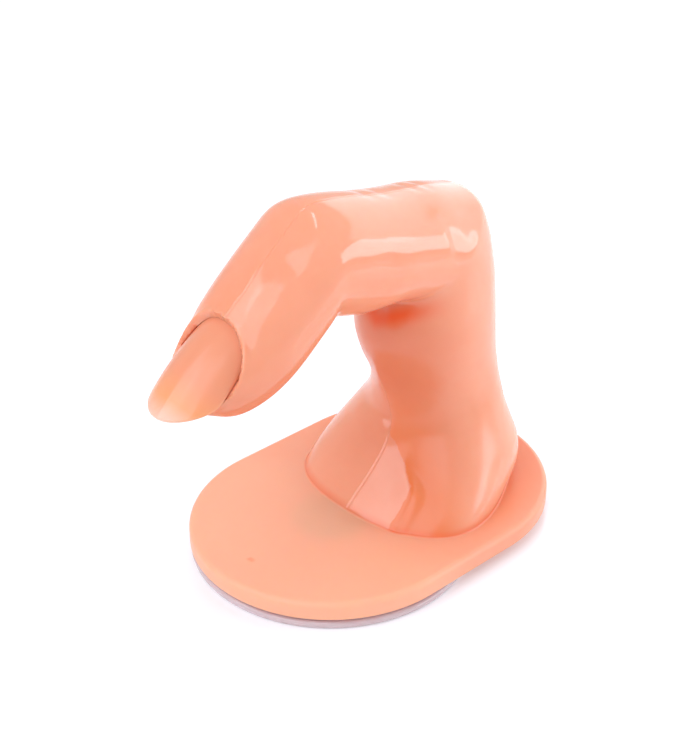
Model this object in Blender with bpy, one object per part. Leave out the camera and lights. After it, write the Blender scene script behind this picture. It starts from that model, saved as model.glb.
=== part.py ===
"""Nail practice finger: a bent plastic finger on a flat base, with a nail tip that
slides into a slot in the fingertip and a suction cup pressed into the base from below.

Metres, +Z up. The finger points along -X and is the same on both sides of the XZ plane.
The origin is the middle of the whole object on the surface that it stands on.
"""
import math

import bmesh
import bpy
import numpy as np

# Base plate: a stadium, flat on top, with a rounded top edge
BASE_LENGTH = 0.064
BASE_WIDTH = 0.046
BASE_THICKNESS = 0.0032
BASE_EDGE_ROUND = 0.0010
BASE_EDGE_CHAMFER = 0.0003
BASE_CLEAR_OF_TABLE = 0.0018
BASE_ARC_STEPS = 22
BASE_ROUND_STEPS = 3

# Clearances between pieces, and how far a cutter runs past what it cuts
CLEARANCE = 0.0003
OVERRUN = 0.0012

# Finger, measured from the back of its root on the top of the base
FINGER_REACH = 0.0650
FINGER_HEIGHT = 0.0572
ROOT_WIDTH = 0.0348
ROOT_BEHIND_MIDDLE = 0.0290
ROOT_SINK = 0.0012
TIP_DOME = 0.0018
TIP_DOME_START_DEG = 42.0
RINGS = 54
RING_POINTS = 36
TIP_RINGS = 5

# Each row is one section of the finger, from the root to the tip: the point on its back
# and the point on its palm side, each as a share of the reach and of the height, and the
# width as a share of the root's width
SECTION_SHARES = (
    (0.000, 0.000, 0.542, 0.000, 1.000),
    (-0.006, 0.052, 0.501, 0.052, 1.005),
    (0.028, 0.122, 0.443, 0.122, 0.915),
    (0.057, 0.227, 0.394, 0.219, 0.740),
    (0.076, 0.382, 0.398, 0.332, 0.615),
    (0.092, 0.554, 0.444, 0.479, 0.650),
    (0.106, 0.717, 0.430, 0.584, 0.625),
    (0.145, 0.855, 0.412, 0.628, 0.614),
    (0.186, 0.888, 0.437, 0.640, 0.610),
    (0.286, 0.920, 0.491, 0.647, 0.588),
    (0.417, 0.946, 0.574, 0.654, 0.573),
    (0.621, 1.000, 0.646, 0.678, 0.549),
    (0.720, 0.969, 0.667, 0.662, 0.545),
    (0.823, 0.883, 0.717, 0.607, 0.534),
    (0.889, 0.816, 0.785, 0.554, 0.522),
    (0.958, 0.748, 0.855, 0.521, 0.471),
    (0.989, 0.705, 0.920, 0.514, 0.400),
    (1.013, 0.655, 0.971, 0.535, 0.300),
)

# The root is fullest towards its front and squarer there; both fade with height
ROOT_WIDEST_SHARE = 0.37
ROOT_FULLNESS = 2.5
ROUND_FULLNESS = 2.0
ROOT_SHAPE_HEIGHT = 0.0130

# Nail tip: a thin arched shell. Its middle line is an arc in the XZ plane, and it
# starts under the fold of the fingertip, at these shares of the reach and the height
NAIL_START_REACH_SHARE = 0.894
NAIL_START_HEIGHT_SHARE = 0.757
NAIL_SHOWN = 0.0166
NAIL_TUCK = 0.0026
NAIL_SLOPE_DEG = 39.5
NAIL_RISE = 0.0009
NAIL_WIDTH = 0.0117
NAIL_CROSS_RADIUS = 0.0065
NAIL_THICKNESS = 0.0006
NAIL_WIDEST_SHARE = 0.58
SLOT_END_SHARE = 0.46
NAIL_ROOT_TAPER_SHARE = 0.10
NAIL_TIP_FULLNESS = 2.1
NAIL_FOLD_FULLNESS = 2.6
NAIL_END_FULLNESS = 7.0
NAIL_LEAST_SHARE = 0.02
NAIL_STEPS = 20
NAIL_CROSS_STEPS = 10
BED_OPENING = 0.0060
BED_RELIEF = 0.00015

# Suction cup under the front of the base, just inside its outline, and the socket that
# holds its stud
CUP_INSET = 0.0002
CUP_RIM_FLAT = 0.0016
CUP_RIM_THICKNESS = 0.0007
CUP_HOLLOW = 0.0010
CUP_SHOULDER_RADIUS = 0.0150
CUP_STEPS = 6
STUD_NECK_RADIUS = 0.0038
STUD_HEAD_RADIUS = 0.0056
STUD_HEAD_THICKNESS = 0.0007
RELIEF_DEPTH = 0.0008
SOCKET_LIP = 0.0005
TURN_STEPS = 48

SMOOTH_ANGLE_DEG = 40.0

SKIN_COLOUR = (0.930, 0.410, 0.255, 1.0)
NAIL_COLOUR = (0.960, 0.560, 0.370, 1.0)
CLEAR_COLOUR = (0.800, 0.780, 0.820, 1.0)


def clear_scene():
    for thing in list(bpy.data.objects):
        bpy.data.objects.remove(thing, do_unlink=True)


def plastic(name, colour, roughness):
    """A plain moulded plastic."""
    material = bpy.data.materials.new(name)
    material.use_nodes = True
    shader = material.node_tree.nodes["Principled BSDF"]
    shader.inputs["Base Color"].default_value = colour
    shader.inputs["Roughness"].default_value = roughness
    shader.inputs["Metallic"].default_value = 0.0
    return material


def new_object(name, mesh, material=None):
    thing = bpy.data.objects.new(name, mesh)
    bpy.context.scene.collection.objects.link(thing)
    if material:
        mesh.materials.append(material)
    return thing


def skin_rings(rings, name, first_point=None, last_point=None):
    """Close a stack of rings with faces between them. An end is an n-sided cap,
    or a fan when its pole is given."""
    shape = bmesh.new()
    rows = [[shape.verts.new(tuple(point)) for point in ring] for ring in rings]
    count = len(rows[0])
    for low, high in zip(rows, rows[1:]):
        for i in range(count):
            j = (i + 1) % count
            shape.faces.new((low[i], low[j], high[j], high[i]))
    for row, pole in ((rows[0], first_point), (rows[-1], last_point)):
        if pole is None:
            shape.faces.new(row)
            continue
        centre = shape.verts.new(tuple(pole))
        for i in range(count):
            shape.faces.new((row[i], row[(i + 1) % count], centre))
    bmesh.ops.recalc_face_normals(shape, faces=shape.faces)
    mesh = bpy.data.meshes.new(name)
    shape.to_mesh(mesh)
    shape.free()
    return mesh


def turned(profile, centre_x, name):
    """Turn a closed profile of (radius, height) points about an upright axis. Points
    on the axis become poles."""
    shape = bmesh.new()
    angles = [math.tau * k / TURN_STEPS for k in range(TURN_STEPS)]
    rows = []
    for radius, height in profile:
        if radius == 0:
            rows.append([shape.verts.new((centre_x, 0, height))] * TURN_STEPS)
            continue
        rows.append([
            shape.verts.new((centre_x + radius * math.cos(a), radius * math.sin(a), height))
            for a in angles
        ])
    for low, high in zip(rows, rows[1:]):
        for i in range(TURN_STEPS):
            j = (i + 1) % TURN_STEPS
            corners = []
            for corner in (low[i], low[j], high[j], high[i]):
                if corner not in corners:
                    corners.append(corner)
            shape.faces.new(corners)
    bmesh.ops.recalc_face_normals(shape, faces=shape.faces)
    mesh = bpy.data.meshes.new(name)
    shape.to_mesh(mesh)
    shape.free()
    return mesh


def boolean(target, tool, operation):
    """Cut or join one body with another, which then only guides."""
    modifier = target.modifiers.new(tool.name, "BOOLEAN")
    modifier.object = tool
    modifier.operation = operation
    modifier.solver = "EXACT"
    tool.hide_render = True
    tool.display_type = "WIRE"


def stadium(inset, height):
    """The base's outline, drawn in by an inset, at one height."""
    radius = BASE_WIDTH / 2 - inset
    centre = (BASE_LENGTH - BASE_WIDTH) / 2
    ring = []
    for side in (1, -1):
        for k in range(BASE_ARC_STEPS + 1):
            a = math.pi * k / BASE_ARC_STEPS - math.pi / 2
            ring.append((side * (centre + radius * math.cos(a)), side * radius * math.sin(a), height))
    return ring


def base_plate():
    low = BASE_CLEAR_OF_TABLE
    high = low + BASE_THICKNESS
    rings = [stadium(BASE_EDGE_CHAMFER, low), stadium(0, low + BASE_EDGE_CHAMFER)]
    for k in range(BASE_ROUND_STEPS + 1):
        a = math.pi / 2 * k / BASE_ROUND_STEPS
        inset = BASE_EDGE_ROUND * (1 - math.cos(a))
        rings.append(stadium(inset, high - BASE_EDGE_ROUND * (1 - math.sin(a))))
    return new_object("base_plate_blank", skin_rings(rings, "base_plate_blank"))


def smooth_rows(rows, steps):
    """A natural cubic spline through the rows, read at even steps."""
    rows = np.asarray(rows, float)
    last = len(rows) - 1
    system = np.zeros((last + 1, last + 1))
    bends = np.zeros_like(rows)
    system[0, 0] = system[last, last] = 1
    for i in range(1, last):
        system[i, i - 1:i + 2] = (1, 4, 1)
        bends[i] = 6 * (rows[i - 1] - 2 * rows[i] + rows[i + 1])
    bends = np.linalg.solve(system, bends)
    at = np.linspace(0, last, steps)
    i = np.minimum(at.astype(int), last - 1)
    t = (at - i)[:, None]
    s = 1 - t
    straight = s * rows[i] + t * rows[i + 1]
    return straight + ((s ** 3 - s) * bends[i] + (t ** 3 - t) * bends[i + 1]) / 6


def finger_place(reach, height):
    """A point of the finger's side view: reach from the root's back, height above the base."""
    return np.array([ROOT_BEHIND_MIDDLE - reach, BASE_CLEAR_OF_TABLE + BASE_THICKNESS + height])


def section_ring(back, palm, half_width):
    """One closed section between its back point and its palm point. Low on the root it
    is squarer, and widest nearer its palm side."""
    height = (back[1] + palm[1]) / 2 - BASE_CLEAR_OF_TABLE - BASE_THICKNESS
    low = max(0.0, 1 - max(height, 0.0) / ROOT_SHAPE_HEIGHT)
    widest = 0.5 + (ROOT_WIDEST_SHARE - 0.5) * low
    power = 2 / (ROUND_FULLNESS + (ROOT_FULLNESS - ROUND_FULLNESS) * low)
    a = math.tau * np.arange(RING_POINTS) / RING_POINTS
    across = half_width * np.sign(np.sin(a)) * np.abs(np.sin(a)) ** power
    along = np.sign(np.cos(a)) * np.abs(np.cos(a)) ** power
    along = widest + np.where(along > 0, (1 - widest) * along, widest * along)
    side = palm + (back - palm) * along[:, None]
    return np.column_stack((side[:, 0], across, side[:, 1]))


def finger_sections():
    """Back point, palm point and half width of every ring of the finger."""
    rows = smooth_rows(SECTION_SHARES, RINGS)
    for back_along, back_up, palm_along, palm_up, width in rows:
        back = finger_place(FINGER_REACH * back_along, FINGER_HEIGHT * back_up)
        palm = finger_place(FINGER_REACH * palm_along, FINGER_HEIGHT * palm_up)
        yield back, palm, ROOT_WIDTH / 2 * width


def finger_blank():
    """The finger lofted from its root, sunk a little into the base, to a domed tip."""
    sections = list(finger_sections())
    rings = [section_ring(*section) for section in sections]
    rings[0] = rings[0] - np.array([0, 0, ROOT_SINK])
    back, palm, half_width = sections[-1]
    middle = (back + palm) / 2
    along = np.array([back[1] - palm[1], palm[0] - back[0]])
    along = along / np.linalg.norm(along)
    if along[0] > 0:
        along = -along
    start = math.radians(TIP_DOME_START_DEG)
    for k in range(1, TIP_RINGS):
        a = start + (math.pi / 2 - start) * k / TIP_RINGS
        centre = middle + along * TIP_DOME * (math.sin(a) - math.sin(start)) / (1 - math.sin(start))
        shrink = math.cos(a) / math.cos(start)
        rings.append(section_ring(centre + (back - middle) * shrink,
                                  centre + (palm - middle) * shrink, half_width * shrink))
    pole = middle + along * TIP_DOME
    mesh = skin_rings(rings, "finger_blank", last_point=(pole[0], 0, pole[1]))
    return new_object("finger_blank", mesh)


def nail_line(share):
    """Point and outward normal of the nail's middle line, in the side view. The share
    is 0 at the fold and 1 at the free end."""
    slope = math.radians(NAIL_SLOPE_DEG)
    along = np.array([-math.cos(slope), -math.sin(slope)])
    out = np.array([-math.sin(slope), math.cos(slope)])
    start = finger_place(FINGER_REACH * NAIL_START_REACH_SHARE, FINGER_HEIGHT * NAIL_START_HEIGHT_SHARE)
    run = NAIL_SHOWN * max(share, 0.0)
    rise = 4 * NAIL_RISE * share * (1 - share) if share > 0 else 0.0
    lean = 4 * NAIL_RISE * (1 - 2 * max(share, 0.0)) / NAIL_SHOWN
    tangent = along + out * lean
    tangent = tangent / np.linalg.norm(tangent)
    point = start + along * run + out * rise
    if share < 0:
        point = start + tangent * NAIL_SHOWN * share
    return point, np.array([tangent[1], -tangent[0]])


def tip_share(share):
    """How much of the nail's width is left towards its free end."""
    past = max(share - NAIL_WIDEST_SHARE, 0.0) / (1 - NAIL_WIDEST_SHARE)
    return (1 - min(past, 1.0) ** NAIL_TIP_FULLNESS) ** (1 / NAIL_TIP_FULLNESS)


def nail_side_share(share):
    """The nail tip's sides: nearly straight, a little narrower towards the slot."""
    back = max(NAIL_WIDEST_SHARE - share, 0.0) / NAIL_WIDEST_SHARE
    return tip_share(share) * (1 - NAIL_ROOT_TAPER_SHARE * back * back)


def nail_width_share(share):
    """The nail tip's own outline: its sides, and a soft end in the slot."""
    tuck = NAIL_TUCK / NAIL_SHOWN
    back = max(NAIL_WIDEST_SHARE - share, 0.0) / (NAIL_WIDEST_SHARE + tuck)
    end = (1 - min(back, 1.0) ** NAIL_END_FULLNESS) ** (1 / NAIL_END_FULLNESS)
    return nail_side_share(share) * end


def fold_width_share(share):
    """The opening that the fold leaves round the nail: an arc behind the widest place."""
    back = min(max(NAIL_WIDEST_SHARE - share, 0.0) / NAIL_WIDEST_SHARE, 1.0)
    return (1 - back ** NAIL_FOLD_FULLNESS) ** (1 / NAIL_FOLD_FULLNESS)


def nail_slab(name, start, end, width_share, below, above, wider):
    """A closed slab that follows the nail's arched surface between two shares of its
    length, from an offset below its inner face to an offset above it."""
    rings = []
    for k in range(NAIL_STEPS + 1):
        turn = math.pi * k / NAIL_STEPS
        share = start + (end - start) * (1 - math.cos(turn)) / 2
        point, normal = nail_line(share)
        half = NAIL_WIDTH / 2 * max(width_share(share), NAIL_LEAST_SHARE) + wider
        reach = math.asin(min(half / (NAIL_CROSS_RADIUS + wider), 1.0))
        ring = []
        for offset, order in ((above, 1), (below, -1)):
            for step in range(NAIL_CROSS_STEPS + 1):
                a = order * reach * (1 - 2 * step / NAIL_CROSS_STEPS)
                radius = NAIL_CROSS_RADIUS + offset
                centre = point - normal * NAIL_CROSS_RADIUS
                side = centre + normal * radius * math.cos(a)
                ring.append((side[0], radius * math.sin(a), side[1]))
        rings.append(ring)
    return skin_rings(rings, name)


def cup_centre():
    """The cup lies under the base's rounded front end, on the axis of its arc."""
    return -(BASE_LENGTH - BASE_WIDTH) / 2


def cup_radius():
    return BASE_WIDTH / 2 - CUP_INSET


def suction_cup(material):
    """A thin dish with a flat rim, and a stud with a head that snaps into the base."""
    relief = BASE_CLEAR_OF_TABLE + RELIEF_DEPTH
    web_top = relief - CLEARANCE
    head_low = relief + SOCKET_LIP + CLEARANCE
    head_high = head_low + STUD_HEAD_THICKNESS
    outer = cup_radius()
    inner = outer - CUP_RIM_FLAT
    profile = []
    for k in range(CUP_STEPS + 1):
        radius = inner * k / CUP_STEPS
        profile.append((radius, CUP_HOLLOW * (1 - (radius / inner) ** 2)))
    profile.append((outer, 0))
    profile.append((outer, CUP_RIM_THICKNESS))
    for k in range(CUP_STEPS):
        share = (k + 1) / CUP_STEPS
        radius = outer + (CUP_SHOULDER_RADIUS - outer) * share
        rise = (web_top - CUP_RIM_THICKNESS) * (3 - 2 * share) * share * share
        profile.append((radius, CUP_RIM_THICKNESS + rise))
    profile.append((STUD_NECK_RADIUS, web_top))
    profile.append((STUD_NECK_RADIUS, head_low))
    profile.append((STUD_HEAD_RADIUS, head_low))
    profile.append((STUD_HEAD_RADIUS, head_high))
    profile.append((0, head_high))
    return new_object("suction_cup", turned(profile, cup_centre(), "suction_cup"), material)


def socket_cutter():
    """The space for the cup under the base: a shallow round relief, a throat and a
    chamber for the stud's head."""
    low = BASE_CLEAR_OF_TABLE
    relief = low + RELIEF_DEPTH
    lip = relief + SOCKET_LIP
    top = lip + STUD_HEAD_THICKNESS + 2 * CLEARANCE
    wide = CUP_SHOULDER_RADIUS + 2 * CLEARANCE
    foot = (wide + cup_radius()) / 2
    throat = STUD_NECK_RADIUS + CLEARANCE
    chamber = STUD_HEAD_RADIUS + CLEARANCE
    profile = [(0, low - OVERRUN), (foot, low - OVERRUN), (foot, low), (wide, relief), (throat, relief),
               (throat, lip), (chamber, lip), (chamber, top), (0, top)]
    return new_object("socket_cutter", turned(profile, cup_centre(), "socket_cutter"))


def finger_body(material):
    """One moulding: the base with the finger standing on it, cut for the cup's stud and
    for the nail."""
    body = base_plate()
    body.name = "finger_body"
    body.data.materials.append(material)
    boolean(body, finger_blank(), "UNION")
    boolean(body, socket_cutter(), "DIFFERENCE")
    tuck = (NAIL_TUCK + CLEARANCE) / NAIL_SHOWN
    past = 1 + OVERRUN / NAIL_SHOWN
    bed = nail_slab("nail_bed_cutter", 0, past, fold_width_share,
                    -CLEARANCE - BED_RELIEF, BED_OPENING, CLEARANCE)
    boolean(body, new_object("nail_bed_cutter", bed), "DIFFERENCE")
    slot = nail_slab("nail_slot_cutter", -tuck, SLOT_END_SHARE, nail_side_share,
                     -CLEARANCE, NAIL_THICKNESS + CLEARANCE, CLEARANCE)
    boolean(body, new_object("nail_slot_cutter", slot), "DIFFERENCE")
    return body


def nail_tip(material):
    mesh = nail_slab("nail_tip", -NAIL_TUCK / NAIL_SHOWN, 1, nail_width_share, 0, NAIL_THICKNESS, 0)
    return new_object("nail_tip", mesh, material)


def finish(pieces):
    """Apply the cuts, shade the pieces smooth and set the object on its origin."""
    bpy.context.view_layer.update()
    graph = bpy.context.evaluated_depsgraph_get()
    for piece in pieces:
        final = bpy.data.meshes.new_from_object(piece.evaluated_get(graph))
        final.name = piece.name
        piece.modifiers.clear()
        piece.data = final
    guides = [thing for thing in bpy.data.objects if thing not in pieces]
    for guide in guides:
        bpy.data.objects.remove(guide, do_unlink=True)
    across = [vert.co.x for piece in pieces for vert in piece.data.vertices]
    middle = (min(across) + max(across)) / 2
    for piece in pieces:
        for vert in piece.data.vertices:
            vert.co.x -= middle
        piece.data.shade_smooth()
        piece.data.set_sharp_from_angle(angle=math.radians(SMOOTH_ANGLE_DEG))
    return middle


clear_scene()
skin = plastic("skin_plastic", SKIN_COLOUR, 0.18)
clear_nail = plastic("nail_plastic", NAIL_COLOUR, 0.15)
clear_vinyl = plastic("clear_vinyl", CLEAR_COLOUR, 0.12)
pieces = [finger_body(skin), nail_tip(clear_nail), suction_cup(clear_vinyl)]
shift = finish(pieces)
print("cup axis at x =", round(cup_centre() - shift, 6))
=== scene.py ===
"""Looks of the nail practice finger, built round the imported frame.

Metres, +Z up. The finger points along -X and its mould parts near the XZ plane.
"""
import math

import bpy
import numpy as np
from mathutils import Matrix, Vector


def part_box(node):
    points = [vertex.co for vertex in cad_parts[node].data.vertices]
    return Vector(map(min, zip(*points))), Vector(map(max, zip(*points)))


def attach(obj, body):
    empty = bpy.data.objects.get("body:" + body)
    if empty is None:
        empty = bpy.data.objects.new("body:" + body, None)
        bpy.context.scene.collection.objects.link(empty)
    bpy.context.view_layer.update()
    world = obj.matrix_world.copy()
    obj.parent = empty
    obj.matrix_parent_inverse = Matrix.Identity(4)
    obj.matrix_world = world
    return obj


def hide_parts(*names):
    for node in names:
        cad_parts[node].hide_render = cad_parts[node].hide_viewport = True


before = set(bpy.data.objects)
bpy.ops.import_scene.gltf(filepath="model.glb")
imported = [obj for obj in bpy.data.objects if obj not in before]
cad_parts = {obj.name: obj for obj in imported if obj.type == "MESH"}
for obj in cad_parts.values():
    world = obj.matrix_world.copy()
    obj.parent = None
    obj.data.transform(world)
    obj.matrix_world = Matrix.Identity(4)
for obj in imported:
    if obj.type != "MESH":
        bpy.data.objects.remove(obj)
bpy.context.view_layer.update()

# Finger body: one moulding in skin-coloured soft vinyl, the finger and its flat base in
# a single shot. Its surface is one stack of rings that starts inside the socket for the
# cup's stud, runs out under the base, over its edge and up the finger to the tip. The
# nail's bed and slot are then cut into it.
MM = 0.001
body_low, body_high = (np.array(corner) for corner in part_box("finger_body"))
BASE_LENGTH = 64 * MM
BASE_WIDTH = body_high[1] - body_low[1]
BASE_UNDERSIDE = body_low[2]
BASE_TOP = BASE_UNDERSIDE + 3.2 * MM
BASE_CENTRE = body_high[0] - BASE_LENGTH / 2
BASE_EDGE_ROUND = 1.0 * MM
BASE_EDGE_CHAMFER = 0.3 * MM
FINGER_REACH = 65 * MM
FINGER_HEIGHT = 57.2 * MM
ROOT_WIDTH = 34.8 * MM
ROOT_BACK = BASE_CENTRE + 29 * MM
ROOT_FILLET = 0.4 * MM
TIP_DOME = 1.8 * MM
TIP_DOME_START = math.radians(42)
TIP_DOME_RINGS = 20
RING_POINTS = 256
# How far the points of a ring crowd towards the parting line, front and back
SEAM_CROWDING = 0.7

# One row for each section from the root to the tip: its back point and its palm point,
# as shares of the reach and of the height, and its width as a share of the root's
SECTION_SHARES = np.array((
    (0.000, 0.000, 0.542, 0.000, 1.000),
    (-0.006, 0.052, 0.501, 0.052, 1.005),
    (0.028, 0.122, 0.443, 0.122, 0.915),
    (0.057, 0.227, 0.394, 0.219, 0.740),
    (0.076, 0.382, 0.398, 0.332, 0.615),
    (0.092, 0.554, 0.444, 0.479, 0.650),
    (0.106, 0.717, 0.430, 0.584, 0.625),
    (0.145, 0.855, 0.412, 0.628, 0.614),
    (0.186, 0.888, 0.437, 0.640, 0.610),
    (0.286, 0.920, 0.491, 0.647, 0.588),
    (0.417, 0.946, 0.574, 0.654, 0.573),
    (0.621, 1.000, 0.646, 0.678, 0.549),
    (0.720, 0.969, 0.667, 0.662, 0.545),
    (0.823, 0.883, 0.717, 0.607, 0.534),
    (0.889, 0.816, 0.785, 0.554, 0.522),
    (0.958, 0.748, 0.855, 0.521, 0.471),
    (0.989, 0.705, 0.920, 0.514, 0.400),
    (1.013, 0.655, 0.971, 0.535, 0.300),
))
ROOT_WIDEST_SHARE = 0.37
ROOT_FULLNESS = 2.5
ROOT_SHAPE_HEIGHT = 13 * MM
# The rings' spacing at these rows of the table, and the steps that it is summed in
SPACING_ROWS = (0.0, 8.5, 10.5, 12.5, 17.0)
SPACING = np.array((0.65, 0.60, 0.40, 0.22, 0.22)) * MM
SPACING_STEPS = 2000


def spline(rows, at):
    """A natural cubic spline through the rows, read at any row numbers: each span is
    the straight blend of its ends plus s**3 - s and t**3 - t times the ends' bends."""
    last = len(rows) - 1
    system = np.eye(last + 1) * 4 + np.eye(last + 1, k=1) + np.eye(last + 1, k=-1)
    system[[0, last]] = np.eye(last + 1)[[0, last]]
    jumps = np.zeros_like(rows)
    jumps[1:last] = 6 * (rows[:-2] - 2 * rows[1:-1] + rows[2:])
    bends = np.linalg.solve(system, jumps)
    i = np.minimum(at.astype(int), last - 1)
    t = (at - i)[:, None]
    s = 1 - t
    straight = s * rows[i] + t * rows[i + 1]
    return straight + ((s ** 3 - s) * bends[i] + (t ** 3 - t) * bends[i + 1]) / 6


def side_place(along_share, up_share):
    """Side-view points, x and z, from shares of the finger's reach and height."""
    x = ROOT_BACK - FINGER_REACH * along_share
    return np.stack((x, BASE_TOP + FINGER_HEIGHT * up_share), -1)


def section_rings(back, palm, half_width, turn):
    """Closed sections between back and palm points. Across is half_width * sin**p and
    along is cos**p of the turn; p rounds the section, and low on the root it is squarer."""
    height = (back[:, 1] + palm[:, 1]) / 2 - BASE_TOP
    low = np.clip(1 - np.maximum(height, 0) / ROOT_SHAPE_HEIGHT, 0, 1)[:, None]
    widest = 0.5 + (ROOT_WIDEST_SHARE - 0.5) * low
    power = 2 / (2 + (ROOT_FULLNESS - 2) * low)
    sine, cosine = np.sin(turn)[None], np.cos(turn)[None]
    across = half_width[:, None] * np.sign(sine) * np.abs(sine) ** power
    along = np.sign(cosine) * np.abs(cosine) ** power
    along = widest + np.where(along > 0, (1 - widest) * along, widest * along)
    side = palm[:, None] + (back - palm)[:, None] * along[..., None]
    return np.stack((side[..., 0], across, side[..., 1]), -1)


def spread_rows():
    """Row numbers for the rings, spaced along the finger's middle line by SPACING."""
    fine = np.linspace(0, len(SECTION_SHARES) - 1, SPACING_STEPS)
    rows = spline(SECTION_SHARES, fine)
    middle = (side_place(rows[:, 0], rows[:, 1]) + side_place(rows[:, 2], rows[:, 3])) / 2
    steps = np.linalg.norm(np.diff(middle, axis=0), axis=1)
    spacing = np.interp((fine[1:] + fine[:-1]) / 2, SPACING_ROWS, SPACING)
    counts = np.concatenate(([0.0], np.cumsum(steps / spacing)))
    return np.interp(np.linspace(0, counts[-1], int(counts[-1]) + 1), counts, fine)


def finger_rings(turn):
    """Row numbers and rings of the finger. The last rings close a dome over the tip:
    their size follows a cosine and their advance a sine."""
    at = spread_rows()
    rows = spline(SECTION_SHARES, at)
    back, palm = side_place(rows[:, 0], rows[:, 1]), side_place(rows[:, 2], rows[:, 3])
    half_width = ROOT_WIDTH / 2 * rows[:, 4]
    middle = (back[-1] + palm[-1]) / 2
    forward = np.array((palm[-1, 1] - back[-1, 1], back[-1, 0] - palm[-1, 0]))
    forward *= -np.sign(forward[0]) / np.linalg.norm(forward)
    bend = np.linspace(TIP_DOME_START, math.pi / 2, TIP_DOME_RINGS + 2)[1:-1, None]
    shrink = np.cos(bend) / math.cos(TIP_DOME_START)
    gone = (np.sin(bend) - math.sin(TIP_DOME_START)) / (1 - math.sin(TIP_DOME_START))
    centre = middle + forward * TIP_DOME * gone
    back = np.concatenate((back, centre + (back[-1] - middle) * shrink))
    palm = np.concatenate((palm, centre + (palm[-1] - middle) * shrink))
    half_width = np.concatenate((half_width, half_width[-1] * shrink[:, 0]))
    at = np.concatenate((at, at[-1] + gone[:, 0]))
    pole = middle + forward * TIP_DOME
    return at, section_rings(back, palm, half_width, turn), np.array((pole[0], 0, pole[1]))


# Nail line and fold. The nail's middle line is a slope with a slight parabolic rise, and
# across it the nail is an arc. The fold leaves an opening round it that is narrower than
# the nail behind the widest place, so that the skin holds the nail's sides down.
NAIL_START_REACH_SHARE = 0.894
NAIL_START_HEIGHT_SHARE = 0.757
NAIL_SHOWN = 16.6 * MM
NAIL_TUCK = 2.6 * MM
NAIL_SLOPE = math.radians(39.5)
NAIL_RISE = 0.9 * MM
NAIL_WIDTH = 11.7 * MM
NAIL_RADIUS = 6.5 * MM
NAIL_THICKNESS = 0.6 * MM
NAIL_WIDEST_SHARE = 0.58
NAIL_ROOT_TAPER_SHARE = 0.10
NAIL_TIP_FULLNESS = 2.1
NAIL_FOLD_FULLNESS = 2.6
NAIL_END_FULLNESS = 7.0
SLOT_END_SHARE = 0.52
NAIL_SLIDE = 2.4 * MM
NAIL_FIT = 0.05 * MM
BED_OPENING = 6 * MM
BED_RELIEF = 0.06 * MM
NAIL_PLACE_ROUNDS = 3
nail_start = side_place(NAIL_START_REACH_SHARE, NAIL_START_HEIGHT_SHARE)
nail_along = np.array((-math.cos(NAIL_SLOPE), -math.sin(NAIL_SLOPE)))
nail_out = np.array((-math.sin(NAIL_SLOPE), math.cos(NAIL_SLOPE)))


def nail_line(share):
    """Points, tangents and outward normals of the nail's middle line in the side view.
    The share is 0 at the fold and 1 at the free end, and below 0 the line runs straight on."""
    on = np.maximum(share, 0)[..., None]
    arch = 4 * NAIL_RISE * on * (1 - on)
    tangent = nail_along + nail_out * 4 * NAIL_RISE * (1 - 2 * on) / NAIL_SHOWN
    tangent /= np.linalg.norm(tangent, axis=-1, keepdims=True)
    point = nail_start + nail_along * NAIL_SHOWN * on + nail_out * arch
    point = point + tangent * NAIL_SHOWN * np.minimum(share, 0)[..., None]
    return point, tangent, np.stack((tangent[..., 1], -tangent[..., 0]), -1)


def nail_surface(share, angle, height):
    """Points over the nail's arched inner face: an arc of NAIL_RADIUS plus the height."""
    point, _, normal = nail_line(share)
    radius = NAIL_RADIUS + height
    side = point - normal * NAIL_RADIUS + normal * (radius * np.cos(angle))[..., None]
    return np.stack((side[..., 0], radius * np.sin(angle), side[..., 1]), -1)


def nail_place(points):
    """The way back: each point's share along the nail, angle across and height over it.
    The share starts on the straight slope and is mended along the line's tangent."""
    flat = points[..., (0, 2)]
    share = (flat - nail_start) @ nail_along / NAIL_SHOWN
    for _ in range(NAIL_PLACE_ROUNDS):
        point, tangent, _ = nail_line(share)
        share = share + ((flat - point) * tangent).sum(-1) / NAIL_SHOWN
    point, _, normal = nail_line(share)
    up = ((flat - point) * normal).sum(-1) + NAIL_RADIUS
    return share, np.arctan2(points[..., 1], up), np.hypot(points[..., 1], up) - NAIL_RADIUS


def tip_share(share):
    """What is left of the nail's width towards its free end: a superellipse quarter."""
    past = np.clip((share - NAIL_WIDEST_SHARE) / (1 - NAIL_WIDEST_SHARE), 0, 1)
    return (1 - past ** NAIL_TIP_FULLNESS) ** (1 / NAIL_TIP_FULLNESS)


def side_share(share):
    """The nail's sides, a little narrower towards the slot."""
    back = np.maximum(NAIL_WIDEST_SHARE - share, 0) / NAIL_WIDEST_SHARE
    return tip_share(share) * (1 - NAIL_ROOT_TAPER_SHARE * back ** 2)


def fold_share(share):
    """The opening that the fold leaves: a superellipse quarter behind the widest place."""
    back = np.clip((NAIL_WIDEST_SHARE - share) / NAIL_WIDEST_SHARE, 0, 1)
    return (1 - back ** NAIL_FOLD_FULLNESS) ** (1 / NAIL_FOLD_FULLNESS)


def slide_room(share):
    """What the nail gains in height over its own arch when it has slid straight out: the
    arch's fall between a place and the one that it came from."""
    on = np.maximum(share, 0)
    from_share = np.maximum(on - NAIL_SLIDE / NAIL_SHOWN, 0)
    return 4 * NAIL_RISE * (on ** 2 - from_share ** 2)


def opening_angle(half_width):
    """Angle from the nail's middle to a wall that stands NAIL_FIT off this half width."""
    return np.arcsin(np.minimum(half_width / NAIL_RADIUS, 1)) + NAIL_FIT / NAIL_RADIUS


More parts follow.
